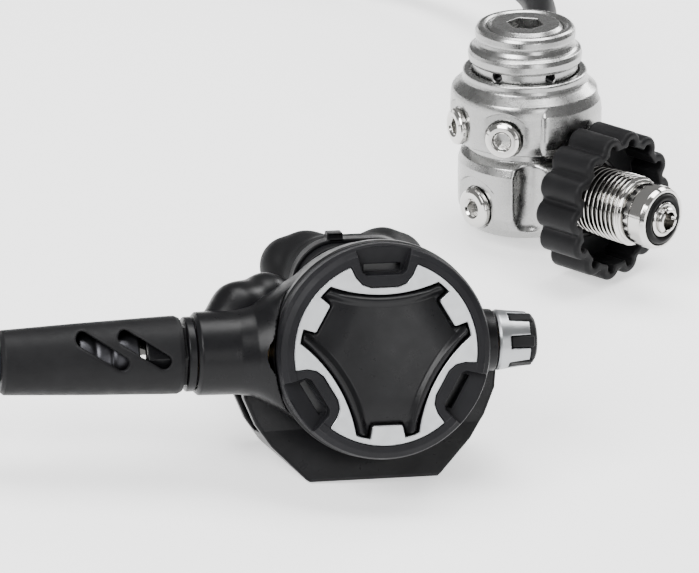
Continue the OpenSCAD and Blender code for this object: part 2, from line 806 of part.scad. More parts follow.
module mouthpiece_clamp() {
    color([0.07, 0.07, 0.07]) second_pose() {
        difference() {
            mouth_pose(18.5) oval_bar(13.9, 4.5);
            mouth_pose(18) oval_bar(12.95, 6);
        }
        mouth_pose(18.8) translate([-9, -16, 0]) cube([5, 2.6, 3.9]);
    }
}

first_stage_body();
spring_housing();
cap_ring();
adjusting_screw();
main_spring();
spring_plate();
main_diaphragm();
transmission_pin();
high_orifice();
high_poppet();
high_spring();
low_port_plugs();
high_port_plugs();
port_o_rings();
din_thread_sleeve();
handwheel();
din_retainer();
din_face_o_ring();
seal_valve();
seal_valve_spring();
inlet_filter();
hose_fitting();
hose_ferrules();
hose();
hose_protector();
hose_stem();
hose_o_rings();
swivel_nut();
second_stage_case();
bypass_tube();
front_ring();
cover_ring();
accent_ring();
purge_button();
purge_spring();
diaphragm();
diaphragm_plate();
demand_lever();
valve_barrel();
inlet_orifice();
poppet();
poppet_spring();
adjuster_spindle();
barrel_o_rings();
knob_body();
knob_grip();
exhaust_valve();
exhaust_tee();
mouthpiece();
mouthpiece_clamp();
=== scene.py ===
import json
import math

import bpy
import numpy as np
from mathutils import Matrix, Vector


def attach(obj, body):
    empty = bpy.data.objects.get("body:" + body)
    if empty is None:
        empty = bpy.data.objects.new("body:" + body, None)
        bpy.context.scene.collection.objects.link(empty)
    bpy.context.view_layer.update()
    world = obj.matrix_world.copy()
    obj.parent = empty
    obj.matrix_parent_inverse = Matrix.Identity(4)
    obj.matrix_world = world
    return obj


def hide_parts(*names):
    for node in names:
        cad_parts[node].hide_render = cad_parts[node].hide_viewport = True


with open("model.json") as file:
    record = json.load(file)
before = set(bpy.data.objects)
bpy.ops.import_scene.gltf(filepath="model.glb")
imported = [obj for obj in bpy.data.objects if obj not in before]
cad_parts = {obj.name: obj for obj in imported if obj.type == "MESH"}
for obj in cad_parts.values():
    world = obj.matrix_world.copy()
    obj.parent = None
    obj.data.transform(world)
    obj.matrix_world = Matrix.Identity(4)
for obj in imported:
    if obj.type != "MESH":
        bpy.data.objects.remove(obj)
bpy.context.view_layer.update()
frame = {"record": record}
scene = bpy.context.scene

# ------------------------------------------------------------------ places, in metres
MM = 0.001
SHIFT = Vector((0.079655, 0.066728, 0.0))
FIRST = (Matrix.Translation(SHIFT + Vector((-0.0008, -0.005, 0.0034)))
         @ Matrix.Rotation(math.radians(36), 4, "Z")
         @ Matrix.Rotation(math.radians(-9), 4, "X") @ Matrix.Scale(MM, 4))
SECOND = (Matrix.Translation(SHIFT + Vector((-0.0876, -0.1574, 0.0403)))
          @ Matrix.Rotation(math.radians(-3.6), 4, "Y")
          @ Matrix.Rotation(math.radians(-22), 4, "X") @ Matrix.Scale(MM, 4))

# ------------------------------------------------------------------ camera
CAMERA_DISTANCE = 1.9
LENS_MM = 296.5
right = Vector((0.9729, -0.1982, 0.1188)).normalized()
back = Vector((-0.2308, -0.8591, 0.4567)).normalized()
right = (right - back * right.dot(back)).normalized()
up = back.cross(right)
target = SHIFT + Vector((-0.05456, 0.00193, -0.02394)) - up * 0.0005
cam = bpy.data.objects.new("camera", bpy.data.cameras.new("camera"))
cam.data.lens = LENS_MM
cam.data.sensor_width = 36.0
cam.data.sensor_fit = "HORIZONTAL"
cam.data.clip_end = 20
rot = Matrix((right, up, back)).transposed().to_4x4()
cam.matrix_world = Matrix.Translation(target + back * CAMERA_DISTANCE) @ rot
scene.collection.objects.link(cam)
scene.camera = cam


# ------------------------------------------------------------------ materials
class Nodes:
    """A principled material whose texture coordinates are the piece's own millimetres."""

    def __init__(self, name, color, rough, metallic=0.0, **values):
        self.mat = bpy.data.materials.new(name)
        self.mat.use_nodes = True
        self.tree = self.mat.node_tree
        self.bsdf = self.tree.nodes["Principled BSDF"]
        self.bsdf.inputs["Base Color"].default_value = (*color, 1)
        self.bsdf.inputs["Roughness"].default_value = rough
        self.bsdf.inputs["Metallic"].default_value = metallic
        for key, value in values.items():
            self.bsdf.inputs[key.replace("_", " ")].default_value = value
        self.coord = self.tree.nodes.new("ShaderNodeTexCoord").outputs["Object"]

    def add(self, kind, **inputs):
        node = self.tree.nodes.new(kind)
        for key, value in inputs.items():
            socket = node.inputs[key.replace("_", " ")]
            if isinstance(value, bpy.types.NodeSocket):
                self.tree.links.new(value, socket)
            else:
                socket.default_value = value
        return node

    def noise(self, scale, stretch=(1, 1, 1), detail=4.0, rough=0.6):
        place = self.add("ShaderNodeMapping", Vector=self.coord, Scale=stretch)
        node = self.add("ShaderNodeTexNoise", Vector=place.outputs["Vector"], Scale=scale,
                        Detail=detail, Roughness=rough)
        return node.outputs[0]

    def span(self, value, low, high, near=0.3, far=0.7):
        node = self.tree.nodes.new("ShaderNodeMapRange")
        self.tree.links.new(value, node.inputs["Value"])
        node.inputs["From Min"].default_value = near
        node.inputs["From Max"].default_value = far
        node.inputs["To Min"].default_value = low
        node.inputs["To Max"].default_value = high
        return node.outputs[0]

    def rough(self, value, low, high):
        self.tree.links.new(self.span(value, low, high), self.bsdf.inputs["Roughness"])

    def tint(self, value, dark, light, near=0.3, far=0.7):
        ramp = self.tree.nodes.new("ShaderNodeValToRGB")
        ramp.color_ramp.elements[0].position = near
        ramp.color_ramp.elements[1].position = far
        ramp.color_ramp.elements[0].color = (*dark, 1)
        ramp.color_ramp.elements[1].color = (*light, 1)
        self.tree.links.new(value, ramp.inputs[0])
        self.tree.links.new(ramp.outputs[0], self.bsdf.inputs["Base Color"])

    def bump(self, value, distance, strength=1.0):
        node = self.add("ShaderNodeBump", Strength=strength, Distance=distance, Height=value)
        before = self.bsdf.inputs["Normal"].links
        if before:
            self.tree.links.new(before[0].from_socket, node.inputs["Normal"])
        self.tree.links.new(node.outputs[0], self.bsdf.inputs["Normal"])


MATS = {}


def metal(name, color, low, high, lines, depth, dark=0.93):
    """Turned metal: fine rings around the piece's axis, and soft cloudy polish."""
    m = Nodes(name, color, low, 1.0)
    m.rough(m.noise(0.35, detail=5), low, high)
    m.tint(m.noise(0.12, detail=3), [c * dark for c in color], color)
    if lines:
        m.bump(m.noise(1.0, lines, detail=3), depth, 0.5)
    m.bump(m.noise(3.5, detail=6), 0.00002, 0.25)
    MATS[name] = m.mat


def plastic(name, color, low, high, grain, depth, light=1.5, **values):
    """Moulded plastic or rubber: fine grain, uneven sheen, slightly paler where handled."""
    m = Nodes(name, color, low, 0.0, **values)
    m.rough(m.noise(0.25, detail=6), low, high)
    m.tint(m.noise(0.09, detail=5), color, [c * light for c in color], 0.35, 0.75)
    m.bump(m.noise(grain, detail=3), depth, 0.6)
    m.bump(m.noise(0.15, detail=2), 0.0004, 0.12)
    MATS[name] = m.mat


metal("pearl_chrome", (0.37, 0.37, 0.365), 0.22, 0.32, (0.15, 0.15, 6), 0.00003)
metal("polished_chrome", (0.62, 0.61, 0.59), 0.06, 0.13, None, 0)
metal("threaded_chrome", (0.60, 0.59, 0.57), 0.08, 0.16, None, 0)
metal("steel", (0.62, 0.62, 0.64), 0.25, 0.38, None, 0)
metal("brass", (0.70, 0.52, 0.26), 0.22, 0.36, None, 0)
metal("silver_plastic", (0.36, 0.37, 0.38), 0.30, 0.38, None, 0, 0.96)
# steel darkened almost to black: painted shade for the ferrules inside the hose's dark sleeve,
# not the steel's own colour
metal("steel_painted_shade", (0.05, 0.05, 0.055), 0.35, 0.5, None, 0)
plastic("black_rubber", (0.0060, 0.0060, 0.0065), 0.42, 0.56, 5.0, 0.00006,
        Specular_IOR_Level=0.11)
plastic("wheel_rubber", (0.0065, 0.0065, 0.0070), 0.40, 0.52, 4.0, 0.00008,
        Specular_IOR_Level=0.11)
plastic("black_plastic", (0.0040, 0.0040, 0.0045), 0.26, 0.36, 6.0, 0.00004,
        Specular_IOR_Level=0.15)
plastic("cover_plastic", (0.0070, 0.0070, 0.0080), 0.42, 0.52, 7.0, 0.00006,
        Specular_IOR_Level=0.11)
plastic("button_plastic", (0.0050, 0.0050, 0.0055), 0.26, 0.34, 6.0, 0.00003,
        Specular_IOR_Level=0.16)
plastic("silicone", (0.020, 0.020, 0.022), 0.40, 0.50, 4.0, 0.00003, 1.1)
plastic("o_ring", (0.0040, 0.0040, 0.0040), 0.35, 0.45, 5.0, 0.00002,
        Specular_IOR_Level=0.11)
plastic("hose_rubber", (0.0055, 0.0055, 0.0060), 0.42, 0.55, 900.0, 0.00004,
        Specular_IOR_Level=0.11)


# ------------------------------------------------------------------ hose
# Its centreline in millimetres, from the second stage to the first.
HOSE = [
    (-177.4, -157.4, 34.6), (-189, -157.4, 33.9), (-201, -157.4, 33.1), (-214, -156.5, 31.5),
    (-228, -151, 29), (-241, -141, 25.5), (-249, -126, 21.5), (-252, -108, 17),
    (-250, -88, 12.5), (-244, -66, 8.5), (-236, -40, 6), (-226, -10, 5.56),
    (-216, 20, 5.56), (-206, 52, 5.56), (-198, 84, 5.56), (-191, 114, 5.56),
    (-182, 141, 5.56), (-168, 165, 5.56), (-147, 182, 5.56), (-122, 190, 5.7),
    (-95, 191.5, 7), (-68, 191, 9.5), (-42, 188.5, 12.8), (-18, 183, 16.5),
    (4, 171.5, 20.5), (20, 152.5, 23.6), (28, 129, 26.6), (27.6, 106, 29.3),
    (21.5, 85, 31.5), (14.73, 68.82, 33.15), (9.99, 51.54, 34.92),
]


HOSE_RADIUS = 0.0055


def smooth_path(points, steps):
    """The points joined by a Catmull-Rom curve, each span cut into that many steps."""
    pts = [np.array(p, float) for p in points]
    last = len(pts) - 1
    out = []
    for i in range(last):
        a, b, c, d = pts[max(i - 1, 0)], pts[i], pts[i + 1], pts[min(i + 2, last)]
        for s in range(steps):
            t = s / steps
            out.append(0.5 * (2 * b + (c - a) * t + (2 * a - 5 * b + 4 * c - d) * t * t
                              + (3 * b - a - 3 * c + d) * t ** 3))
    return out + [pts[-1]]


path = [SHIFT + Vector(p) * MM for p in smooth_path(HOSE, 5)]
hose_curve = bpy.data.curves.new("hose_tube", "CURVE")
hose_curve.dimensions = "3D"
hose_curve.bevel_depth = HOSE_RADIUS
hose_curve.bevel_resolution = 7
hose_curve.use_fill_caps = True
spline = hose_curve.splines.new("POLY")
spline.points.add(len(path) - 1)
for point, place in zip(spline.points, path):
    point.co = (*place, 1)
hose = bpy.data.objects.new("hose_tube", hose_curve)
scene.collection.objects.link(hose)
hose.data.materials.append(MATS["hose_rubber"])
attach(hose, "first_stage")
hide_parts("hose")


# ------------------------------------------------------------------ distance fields
def poly2(x, y, pts):
    """Signed distance to a closed outline."""
    best = np.full(x.shape, 1e9, np.float32)
    inside = np.zeros(x.shape, bool)
    for (ax, ay), (bx, by) in zip(pts, pts[1:] + pts[:1]):
        ex, ey = bx - ax, by - ay
        wx, wy = x - ax, y - ay
        t = np.clip((wx * ex + wy * ey) / (ex * ex + ey * ey), 0, 1)
        best = np.minimum(best, (wx - ex * t) ** 2 + (wy - ey * t) ** 2)
        if ey:
            side = ((y >= ay) != (y >= by)) & (x < ex * wy / ey + ax)
            inside ^= side
    return np.where(inside, -1, 1) * np.sqrt(best)


def smin(a, b, k):
    """Both shapes joined, with a blend about k wide."""
    h = np.clip(0.5 + 0.5 * (b - a) / k, 0, 1)
    return b * (1 - h) + a * h - k * h * (1 - h)


def smax(a, b, k):
    """Where both shapes are, with a blend about k wide."""
    return -smin(-a, -b, k)


def slab(d, z, z0, z1, r=0.0):
    """An outline's field extruded from z0 to z1, with rounded edges."""
    u, w = d + r, np.abs(z - (z0 + z1) / 2) - (z1 - z0) / 2 + r
    return np.minimum(np.maximum(u, w), 0) + np.hypot(np.maximum(u, 0), np.maximum(w, 0)) - r


def block(x, y, z, lo, hi, r=0.0):
    """A box from lo to hi with edges rounded by r."""
    q = [np.abs(v - (a + b) / 2) - (b - a) / 2 + r for v, a, b in zip((x, y, z), lo, hi)]
    out = np.sqrt(sum(np.maximum(v, 0) ** 2 for v in q))
    return out + np.minimum(np.maximum(np.maximum(q[0], q[1]), q[2]), 0) - r


def rod(x, y, z, a, b, r):
    """A round-ended rod from a to b."""
    d = [q - p for p, q in zip(a, b)]
    w = [v - p for v, p in zip((x, y, z), a)]
    t = np.clip(sum(i * j for i, j in zip(w, d)) / sum(i * i for i in d), 0, 1)
    return np.sqrt(sum((i - j * t) ** 2 for i, j in zip(w, d))) - r


def hex2(x, y, flat):
    """A hexagon with its flats that far apart."""
    a = np.abs(x), np.abs(y)
    return np.maximum(a[0] * 0.8660254 + a[1] * 0.5, a[1]) - flat / 2


def turned(x, y, degrees):
    """The point's place in axes turned by that angle."""
    c, s = math.cos(math.radians(degrees)), math.sin(math.radians(degrees))
    return c * x + s * y, c * y - s * x


def port(x, y, turn):
    """Distances outward and sideways of a port at that turn."""
    c, s = math.cos(math.radians(turn)), math.sin(math.radians(turn))
    return x * s - y * c, x * c + y * s


def surface(sdf, lo, hi, step):
    """The field's zero surface as points, unit normals and quads, by surface nets."""
    axes = [np.arange(a - step, b + 1.9 * step, step, dtype=np.float32) for a, b in zip(lo, hi)]
    v = sdf(*np.meshgrid(*axes, indexing="ij")).astype(np.float32)
    v[v == 0] = 1e-6
    inside = v < 0
    nx, ny, nz = (s - 1 for s in v.shape)
    near = sum(inside[i:i + nx, j:j + ny, k:k + nz].astype(np.int8)
               for i in (0, 1) for j in (0, 1) for k in (0, 1))
    cell = np.argwhere((near > 0) & (near < 8))
    index = np.full((nx, ny, nz), -1, np.int64)
    index[tuple(cell.T)] = np.arange(len(cell))
    total, count = np.zeros((len(cell), 3)), np.zeros(len(cell))
    for axis in range(3):
        for i in (0, 1):
            for j in (0, 1):
                a = [i, j]
                a.insert(axis, 0)
                b = list(a)
                b[axis] = 1
                va, vb = (v[tuple((cell + c).T)] for c in (a, b))
                hit = (va < 0) != (vb < 0)
                t = np.where(hit, va / np.where(hit, va - vb, 1), 0)
                total += hit[:, None] * (np.array(a) + t[:, None] * (np.array(b) - a))
                count += hit
    start = np.array([a[0] for a in axes])
    points = start + step * (cell + total / count[:, None])
    quads = []
    for axis in range(3):
        one = [0, 0, 0]
        one[axis] = 1
        low = v[tuple(slice(0, -1) if k == axis else slice(1, -1) for k in range(3))]
        high = v[tuple(slice(1, None) if k == axis else slice(1, -1) for k in range(3))]
        at = np.argwhere((low < 0) != (high < 0)) + [0 if k == axis else 1 for k in range(3)]
        e, f = np.eye(3, dtype=int)[(axis + 1) % 3], np.eye(3, dtype=int)[(axis + 2) % 3]
        ring = np.stack([index[tuple((at - o).T)] for o in (0 * e, e, e + f, f)], 1)
        flip = v[tuple(at.T)] < 0
        ring[~flip] = ring[~flip][:, ::-1]
        quads.append(ring)

    def value(p):
        return sdf(*[p[:, k].astype(np.float32) for k in range(3)])

    def slope(p, h):
        return np.stack([value(p + h * u) - value(p - h * u) for u in np.eye(3)], 1) / (2 * h)

    for _ in range(2):
        g = slope(points, 0.15 * step)
        move = value(points)[:, None] * g / np.maximum((g ** 2).sum(1), 0.3)[:, None]
        points = points - np.clip(move, -0.3 * step, 0.3 * step)
    g = slope(points, 0.45 * step)
    return points, g / np.maximum(np.linalg.norm(g, axis=1), 1e-6)[:, None], np.vstack(quads)


def finish(o, pose, body, nodes, material):
    """Puts a piece in the scene, on its body, in place of its CAD nodes."""
    o.matrix_world = pose
    scene.collection.objects.link(o)
    o.data.materials.append(MATS[material])
    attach(o, body)
    if nodes:
        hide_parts(*nodes)
    return o


def mesh_of(name, points, normals, faces):
    """A smooth mesh from arrays."""
    m = bpy.data.meshes.new(name)
    m.from_pydata(points.tolist(), [], faces.tolist())
    m.polygons.foreach_set("use_smooth", [True] * len(m.polygons))
    m.validate()
    if normals is not None:
        m.normals_split_custom_set_from_vertices(normals.tolist())
    return m


def solid(name, sdf, lo, hi, step, pose, body, nodes, slot, material=None):
    """A piece whose surface is the field's, sampled every step millimetres."""
    mesh = mesh_of(name, *surface(sdf, lo, hi, step))
    return finish(bpy.data.objects.new(name, mesh), pose, body, nodes, material or slot)


# ------------------------------------------------------------------ first stage
LOW_PORTS, HIGH_PORTS, HOSE_PORT = (-66, -115, 66), (-98.5, 98.5), 129
LOW_Z, HIGH_Z, DIN_Z = 37.3, 10.5, 16.6
BAND_HALF_TURN = math.radians(35)


def body_field(x, y, z):
    """The base with its DIN boss and flutes, the waist, and the bell with its ports."""
    r = np.hypot(x, y)
    low = poly2(r, z, [(0, .4), (13.6, .4), (17.2, 1.8), (19.6, 4.6), (20.9, 8.6), (21.1, 14),
                       (21.1, 23.4), (20.3, 25.8), (18.6, 27.1), (0, 27.4)]) - 0.4
    boss = block(x, y, z, (-12.6, -25.5, 3.4), (12.6, 0, 27.2), 5.5)
    low = smin(low, boss, 2.5)
    for turn in (-45, 45):
        out, side = port(x, y, turn)
        low = smax(low, 6.6 - np.hypot(out - 25.2, side) - np.clip(7 - z, 0, 7) ** 2 * 0.12, 1.0)
    for turn in HIGH_PORTS:
        out, side = port(x, y, turn)
        wide = np.hypot(side, z - HIGH_Z)
        low = smax(low, -np.maximum(19.8 - out, wide - 10.4), 0.7)
        low = smax(low, -np.maximum(19.0 - out, wide - 7.0), 0.15)
    waist = slab(r - 18.2, z, 24, 34)
    top = poly2(r, z, [(0, 31), (20.2, 31), (23.2, 32.1), (24.7, 34.4), (25.1, 37), (25.1, 42),
                       (24.7, 45.2), (23.2, 48.2), (20.8, 50.4), (20.1, 51.2), (19.8, 52.4),
                       (19.8, 53.8), (19.4, 54.1), (0, 54.1)]) - 0.4
    sector = np.abs(x) * math.cos(BAND_HALF_TURN) + y * math.sin(BAND_HALF_TURN)
    top = smax(top, -np.maximum(smax(24.4 - r, z - 46.0, 2), 0.8 - sector), 2.5)
    for turn in (*LOW_PORTS, HOSE_PORT):
        out, side = port(x, y, turn)
        wide = np.hypot(side * 0.92, z - LOW_Z)
        top = smax(top, -np.maximum(22.9 - out, wide - 8.6), 0.5)
        top = smax(top, -np.maximum(22.2 - out, np.hypot(side, z - LOW_Z) - 6.35), 0.15)
    top = smax(top, -np.maximum(r - 17.9, 52.4 - z), 0.3)
    return np.minimum(smin(low, waist, 0.8), smin(top, waist, 0.8))


solid("body_shell", body_field, (-26, -26, 0), (26, 26, 55), 0.42, FIRST, "first_stage",
      ["first_stage_body"], "pearl_chrome")


def housing_field(x, y, z):
    """The spring housing with its six ambient holes."""
    r = np.hypot(x, y)
    d = poly2(r, z, [(12.5, 52), (17.2, 52), (17.2, 58.8), (14.4, 58.8), (14.4, 68.5),
                     (12.5, 68.5)]) - 0.1
    for turn in range(39, 399, 60):
        out, side = port(x, y, turn)
        hole = np.maximum(np.hypot(side, z - 55.9) - 1.7, 12 - out)
        d = smax(d, -hole, 0.35)
    return d


solid("spring_housing_shell", housing_field, (-18, -18, 51.5), (18, 18, 69), 0.33, FIRST,
      "first_stage", ["spring_housing"], "pearl_chrome")


def cap_field(x, y, z):
    """The two trim rings under the adjusting screw."""
    r = np.hypot(x, y)
    ring = poly2(r, z, [(14.7, 58), (17.4, 58), (17.4, 57.6), (17.9, 57.5), (18.3, 58.3),
                        (18.4, 60.2), (18.0, 61.5), (17.1, 62.0), (16.4, 62.7), (15.8, 63.8),
                        (15.5, 65.1), (16.0, 65.3), (16.2, 66.0), (16.1, 67.7), (15.6, 68.6),
                        (14.9, 69.1), (14.0, 69.1), (13.3, 68.6), (13.0, 67.5), (13.0, 63),
                        (14.7, 63)])
    return ring - 0.2


solid("cap_rings", cap_field, (-19, -19, 57), (19, 19, 70), 0.32, FIRST, "first_stage",
      ["cap_ring"], "pearl_chrome")


def screw_field(x, y, z):
    """The adjusting screw with its hexagon socket and bore."""
    r = np.hypot(x, y)
    d = poly2(r, z, [(0, 61), (12.0, 61), (12.0, 68.4), (10.9, 69.4), (0, 69.4)]) - 0.2
    d = smax(d, -slab(hex2(x, y, 10.6), z, 65.2, 80), 0.3)
    return smax(d, 4.4 - r, 0.3)


solid("adjusting_screw_face", screw_field, (-12.5, -12.5, 60.5), (12.5, 12.5, 70), 0.3, FIRST,
      "adjusting_screw", ["adjusting_screw"], "pearl_chrome")


def plug_field(radius):
    """A port plug, its face at 2.6 along z, with a hexagon socket."""
    def field(x, y, z):
        r = np.hypot(x, y)
        d = poly2(r, z, [(0, -5.9), (4.4, -5.9), (4.4, 0.1), (radius, 0.1), (radius, 1.5),
                         (radius - 0.3, 2.0), (radius - 1.3, 2.5), (0, 2.5)]) - 0.1
        d = smax(d, -slab(hex2(x, y, 4.9), z, -4.4, 9), 0.15)
        return smax(d, -poly2(r, z, [(0, 1.9), (2.8, 1.9), (3.6, 2.8), (0, 2.8)]), 0.1)
    return field


def port_place(turn, r, z):
    """The pose of a port: z outward along its axis."""
    return (FIRST @ Matrix.Rotation(math.radians(turn), 4, "Z") @ Matrix.Translation((0, -r, z))
            @ Matrix.Rotation(math.radians(90), 4, "X"))


for name, turns, face, height, radius in (("low_plug", LOW_PORTS, 23, LOW_Z, 5.9),
                                          ("high_plug", HIGH_PORTS, 19.8, HIGH_Z, 6.5)):
    mesh = mesh_of(name, *surface(plug_field(radius), (-7, -7, -6.2), (7, 7, 2.8), 0.2))
    mesh.materials.append(MATS["polished_chrome"])
    for number, turn in enumerate(turns):
        plug = bpy.data.objects.new("%s_%d" % (name, number + 1), mesh)
        plug.matrix_world = port_place(turn, face, height)
        scene.collection.objects.link(plug)
        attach(plug, "first_stage")
        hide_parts(name.replace("plug", "port_plugs"))

DIN = port_place(0, 0, DIN_Z)
WHEEL_LOBES = 14


def wheel_field(x, y, z):
    """The lobed handwheel with a lobed cup around the thread."""
    angle = np.arctan2(y, x)
    pitch = 2 * math.pi / WHEEL_LOBES
    fold = np.abs((angle + pitch / 2) % pitch - pitch / 2)
    r = np.hypot(x, y)
    lx, ly = r * np.cos(fold), r * np.sin(fold)
    lobe = np.hypot(lx - 20.2, ly) - 4.6
    star = smin(lobe, r - 22.0, 0.8)
    body = slab(star, z, 26, 42, 1.3)
    hollow = np.maximum(smin(np.hypot(lx - 20.6, ly) - 1.6, r - 19.6, 1.0), 30.2 - z)
    body = smax(body, -hollow, 0.7)
    return smax(body, 12.6 - r, 0.3)


solid("handwheel_grip", wheel_field, (-25, -25, 26), (25, 25, 42), 0.36, DIN, "din_wheel",
      ["handwheel"], "black_rubber", "wheel_rubber")


def thread_mesh():
    """The sleeve: a hub, then a helical ridge that runs out toward the nose."""
    around, pitch = 120, 1.814
    root, height = 10.25, 1.18
    rows = [(26.2, 12.2, 0), (28.6, 12.2, 0), (29.2, 11.2, 0), (29.5, root, 0)]
    rows += [(29.6 + 0.13 * k, 0, 1) for k in range(150)]
    rows += [(49.35, 9.6, 0), (49.4, 8.0, 0), (49.0, 7.65, 0), (26.2, 7.65, 0)]
    turn = np.arange(around) * 2 * math.pi / around
    points = []
    for z, r, threaded in rows:
        if threaded:
            wave = ((z - 29.6) / pitch - turn / (2 * math.pi)) % 1.0
            crest = np.clip(1.5 - np.abs(wave - 0.5) * 4.2, 0, 1)
            run_in = min(1, (z - 29.5) / 0.7, max(0, (49.3 - z) / 1.1))
            radius = root + height * crest ** 0.8 * run_in
        else:
            radius = np.full(around, r)
        points.append(np.stack([radius * np.cos(turn), radius * np.sin(turn),
                                np.full(around, z)], 1))
    n = len(rows)
    grid = np.arange(n * around).reshape(n, around)
    faces = []
    for k in range(n):
        a, b = grid[k], grid[(k + 1) % n]
        faces.append(np.stack([a, np.roll(a, -1), np.roll(b, -1), b], 1))
    return mesh_of("din_thread", np.vstack(points), None, np.vstack(faces))


finish(bpy.data.objects.new("din_thread", thread_mesh()), DIN, "din_wheel",
       ["din_thread_sleeve"], "threaded_chrome")


def nose_field(x, y, z):
    """The DIN retainer: shank, groove and collar with its ring seat."""
    r = np.hypot(x, y)
    d = poly2(r, z, [(0, 20), (6.4, 20), (6.4, 25.6), (7.4, 25.6), (7.4, 49.6), (8.9, 49.6),
                     (9.9, 50.4), (9.9, 52.6), (10.3, 52.9), (10.3, 57.6), (9.6, 58.9),
                     (8.9, 59.0), (8.5, 58.6), (8.5, 56.4), (5.7, 56.4), (5.7, 59.6),
                     (5.3, 60.0), (0, 60.0)]) - 0.12
    return smax(d, 4.4 - r, 0.2)


solid("din_nose", nose_field, (-10.6, -10.6, 26), (10.6, 10.6, 60.2), 0.27, DIN,
      "first_stage", ["din_retainer"], "polished_chrome")


def face_ring_field(x, y, z):
    """The O-ring in the nose's face."""
    return np.hypot(np.hypot(x, y) - 7.1, z - 58.6) - 1.3


solid("din_face_ring", face_ring_field, (-8.6, -8.6, 57), (8.6, 8.6, 60.1), 0.25, DIN,
      "first_stage", ["din_face_o_ring"], "o_ring")


def valve_field(x, y, z):
    """The seal valve's nozzle with three notches."""
    r = np.hypot(x, y)
    d = poly2(r, z, [(0, 51.4), (4.2, 51.4), (4.2, 61.0), (3.7, 61.7), (0, 61.7)]) - 0.1
    d = smax(d, 2.9 - r, 0.2)
    for turn in (0, 120, 240):
        u, w = turned(x, y, turn)
        d = smax(d, -block(u, w, z, (2.4, -0.6, 60.3), (6, 0.6, 64)), 0.15)
    core = poly2(r, z, [(0, 51), (3.0, 51), (3.0, 54), (0, 54)])
    return np.minimum(d, core)


solid("seal_valve_nose", valve_field, (-4.5, -4.5, 51), (4.5, 4.5, 62), 0.2, DIN, "seal_valve",
      ["seal_valve"], "polished_chrome")


FITTING = port_place(HOSE_PORT, 0, LOW_Z)


def fitting_field(x, y, z):
    """The hose's hexagon nut and its collar in the port."""
    r = np.hypot(x, y)
    d = poly2(r, z, [(0, 16), (4.6, 16), (4.6, 23.1), (7.2, 23.1), (7.2, 25.0), (0, 25.0)]) - 0.1
    nut = smax(slab(hex2(x, y, 14.2), z, 25.0, 35, 0.2), r - 7.9 + 0.25 * np.abs(z - 30), 0.3)
    return smax(smin(d, nut, 0.3), 2.4 - r, 0.1)


solid("hose_nut", fitting_field, (-8.5, -8.5, 16), (8.5, 8.5, 35.2), 0.27, FITTING,
      "first_stage", ["hose_fitting"], "polished_chrome")


def ferrule_field(low, high):
    """A crimped ferrule between those two heights, with two grooves."""
    def field(x, y, z):
        r = np.hypot(x, y)
        groove = 0.35 * np.exp(-((z - low - 5) / 0.8) ** 2) \
            + 0.35 * np.exp(-((z - low - 10) / 0.8) ** 2)
        return smax(slab(r - 7.7 + groove, z, low, high, 0.6), 2.4 - r, 0.1)
    return field


AXIS = SECOND @ Matrix.Rotation(math.radians(90), 4, "Y")
# both ferrules wear the darkened steel, painted shade of the sleeve's inside, in place of their
# own bright steel
for name, low, high, pose in (("ferrule_first", 35.0, 54.0, FITTING),
                              ("ferrule_second", -90.0, -72.0, AXIS)):
    solid(name, ferrule_field(low, high), (-8, -8, low), (8, 8, high), 0.33, pose,
          "first_stage", ["hose_ferrules"], "steel", "steel_painted_shade")


# ------------------------------------------------------------------ second stage
MOUTH_TURN = math.radians(83)
MOUTH_START = (5, 14)


def flank(x, y, z):
    """The mouth tube's own axes: across, down and outward."""
    c, s = math.cos(MOUTH_TURN), math.sin(MOUTH_TURN)
    dy, dz = y - MOUTH_START[0], z - MOUTH_START[1]
    return x, c * dy - s * dz, s * dy + c * dz


def oval(x, y, r):
    """Two round ends 12 apart with a block between them."""
    return np.hypot(np.maximum(np.abs(x) - 6, 0), y) - r


def case_field(x, y, z):
    """The case: dish, hose collar, knob boss and mouth tube."""
    r = np.hypot(x, z)
    shell = poly2(r, y, [(0, -6.4), (30.9, -6.4), (30.9, 3.5), (30.2, 7.5), (27.4, 12),
                         (24.5, 15.6), (22.6, 16.6), (0, 16.6)]) - 0.4
    collar = poly2(np.hypot(y, z), x, [(0, -54.8), (11.4, -54.8), (12.3, -53.9), (12.5, -42),
                                       (13.4, -37), (15.6, -32), (17, -26), (0, -20)]) - 0.2
    shell = smin(shell, collar, 9.0)
    boss = poly2(np.hypot(y, z), x, [(0, 10), (11, 10), (10, 31), (9.3, 36.5), (0, 36.5)])
    shell = smin(shell, boss, 4.0)
    u, w, far = flank(x, y, z)
    tube = slab(oval(u, w, 11), far, 0, 25, 0.3)
    shell = smin(shell, tube, 3.0)
    shell = smax(shell, -np.maximum(np.hypot(x, z) - 32.95, y + 6.8), 0.3)
    return smax(shell, -np.maximum(np.hypot(y, z) - 7.5, x + 40), 0.2)


solid("case_shell", case_field, (-56, -14, -33), (37, 30.5, 33), 0.55, SECOND, "second_stage",
      ["second_stage_case"], "black_plastic")


def bypass_field(x, y, z):
    """The swan-necked cover beside the mouth tube."""
    d = smin(rod(x, y, z, (-39.5, 8, 11.5), (-30, 14, 14), 7.2),
             rod(x, y, z, (-30, 14, 14), (-21, 19, 12), 6.4), 4)
    return smin(d, rod(x, y, z, (-46, 3, 5), (-39.5, 8, 11.5), 8.0), 4)


solid("bypass_cover", bypass_field, (-56, -8, -6), (-13, 28, 24), 0.5, SECOND, "second_stage",
      ["bypass_tube"], "black_plastic")


def rim_field(x, y, z):
    """The retaining ring behind the cover."""
    r = np.hypot(x, z)
    return poly2(r, y, [(29, -10.9), (32.3, -10.9), (32.7, -10.4), (32.7, -8.0), (32.2, -7.3),
                        (29, -7.3)]) - 0.2


solid("front_rim", rim_field, (-33, -11.2, -33), (33, -7, 33), 0.4, SECOND, "second_stage",
      ["front_ring"], "black_plastic")


# The purge button's outline: its radius, and the circle that hollows each side.
PURGE_R, HOLLOW_FROM, HOLLOW_R = 25.6, 62, 45.2


